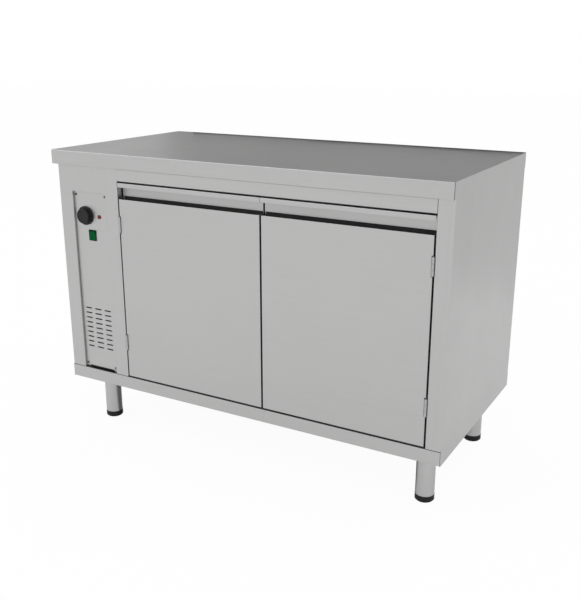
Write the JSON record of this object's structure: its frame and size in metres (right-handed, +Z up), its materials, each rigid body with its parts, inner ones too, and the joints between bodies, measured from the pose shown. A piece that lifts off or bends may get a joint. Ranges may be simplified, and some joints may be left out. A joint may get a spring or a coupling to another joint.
{
  "type": "plate warmer cabinet",
  "caption": "Free-standing stainless plate warmer: worktop on a folded body, hinged doors with recessed pulls, a recessed control panel with vents, a shelf, a fan heater and height-set feet.",
  "frame": {"origin": "on the floor, under the middle of the worktop's outline", "axes": "+X to the right as seen from the front, +Y to the back, +Z up; the doors face -Y"},
  "size_m": [1.2, 0.603, 0.845],
  "materials": {
    "stainless": "fine satin grain",
    "hinge_steel": "satin",
    "screw_steel": "plain",
    "galvanised": "zinc coated",
    "motor_paint": "semi-gloss",
    "heater_steel": "heat-darkened",
    "copper": "drawn",
    "brass": "turned",
    "core_board": "raw board",
    "mineral_wool": "fibrous",
    "fleece_faced_wool": "black fleece facing",
    "black_plastic": "moulded satin",
    "thermostat_plastic": "moulded",
    "lamp_bezel": "gloss",
    "lamp_red": "translucent gloss",
    "rocker_green": "translucent gloss"
  },
  "bodies": {
    "cabinet": {"air_guard": "stainless", "back_panel": "stainless", "base_pan": "stainless", "bottom_rail": "stainless", "cable_gland": "black_plastic", "casing_screws": "screw_steel", "cavity_insulation": "mineral_wool", "control_panel": "stainless", "fan_motor": "motor_paint", "gland_locknut": "black_plastic", "heater_strips": "heater_steel", "hinge_frame_leaves": "hinge_steel", "hinge_pins": "hinge_steel", "left_side_panel": "stainless", "leg_bolts": "screw_steel", "leg_bushes": "black_plastic", "leg_front_left": "stainless", "leg_front_right": "stainless", "leg_rear_left": "stainless", "leg_rear_right": "stainless", "liner_back": "stainless", "liner_ceiling": "stainless", "liner_floor": "stainless", "liner_right_wall": "stainless", "magnetic_catches": "thermostat_plastic", "motor_plate": "galvanised", "partition_wall": "stainless", "pilot_lamp_body": "lamp_bezel", "pilot_lamp_lens": "lamp_red", "right_side_panel": "stainless", "shelf": "stainless", "shelf_clips": "stainless", "switch_housing": "black_plastic", "temperature_sensor": "copper", "terminal_block": "thermostat_plastic", "thermostat_body": "thermostat_plastic", "top_rail": "stainless", "worktop_core": "core_board", "worktop_skin": "stainless"},
    "left_door": {"left_door_grip_plate": "stainless", "left_door_head": "stainless", "left_door_hinge_leaves": "hinge_steel", "left_door_inner_skin": "stainless", "left_door_insulation": "fleece_faced_wool", "left_door_outer_skin": "stainless"},
    "right_door": {"right_door_grip_plate": "stainless", "right_door_head": "stainless", "right_door_hinge_leaves": "hinge_steel", "right_door_inner_skin": "stainless", "right_door_insulation": "fleece_faced_wool", "right_door_outer_skin": "stainless"},
    "thermostat_knob": {"thermostat_knob": "black_plastic", "thermostat_spindle": "brass"},
    "switch_rocker": {"switch_rocker": "rocker_green"},
    "fan_rotor": {"fan_impeller": "galvanised", "fan_shaft": "galvanised"},
    "foot_front_left": {"foot_front_left": "black_plastic"},
    "foot_front_right": {"foot_front_right": "black_plastic"},
    "foot_rear_left": {"foot_rear_left": "black_plastic"},
    "foot_rear_right": {"foot_rear_right": "black_plastic"}
  },
  "joints": [
    {"name": "left_door_hinge", "type": "hinge", "parent": "cabinet", "child": "left_door", "pos_m": [-0.3645, -0.295, 0.4735], "axis": [0, 0, -1], "range_deg": [0, 175]},
    {"name": "right_door_hinge", "type": "hinge", "parent": "cabinet", "child": "right_door", "pos_m": [0.5555, -0.295, 0.4735], "axis": [0, 0, 1], "range_deg": [0, 180]},
    {"name": "thermostat_turn", "type": "hinge", "parent": "cabinet", "child": "thermostat_knob", "pos_m": [-0.495, -0.295, 0.6615], "axis": [0, 1, 0], "range_deg": [0, 270]},
    {"name": "switch_tilt", "type": "hinge", "parent": "cabinet", "child": "switch_rocker", "pos_m": [-0.474, -0.285, 0.6055], "axis": [-1, 0, 0], "range_deg": [0, 16]},
    {"name": "fan_spin", "type": "hinge", "parent": "cabinet", "child": "fan_rotor", "pos_m": [-0.349, 0, 0.334], "axis": [1, 0, 0], "continuous": true},
    {"name": "foot_front_left_height", "type": "slide", "parent": "cabinet", "child": "foot_front_left", "axis": [0, 0, -1], "range_m": [0, 0.025]},
    {"name": "foot_front_right_height", "type": "slide", "parent": "cabinet", "child": "foot_front_right", "axis": [0, 0, -1], "range_m": [0, 0.025]},
    {"name": "foot_rear_left_height", "type": "slide", "parent": "cabinet", "child": "foot_rear_left", "axis": [0, 0, -1], "range_m": [0, 0.025]},
    {"name": "foot_rear_right_height", "type": "slide", "parent": "cabinet", "child": "foot_rear_right", "axis": [0, 0, -1], "range_m": [0, 0.025]}
  ]
}
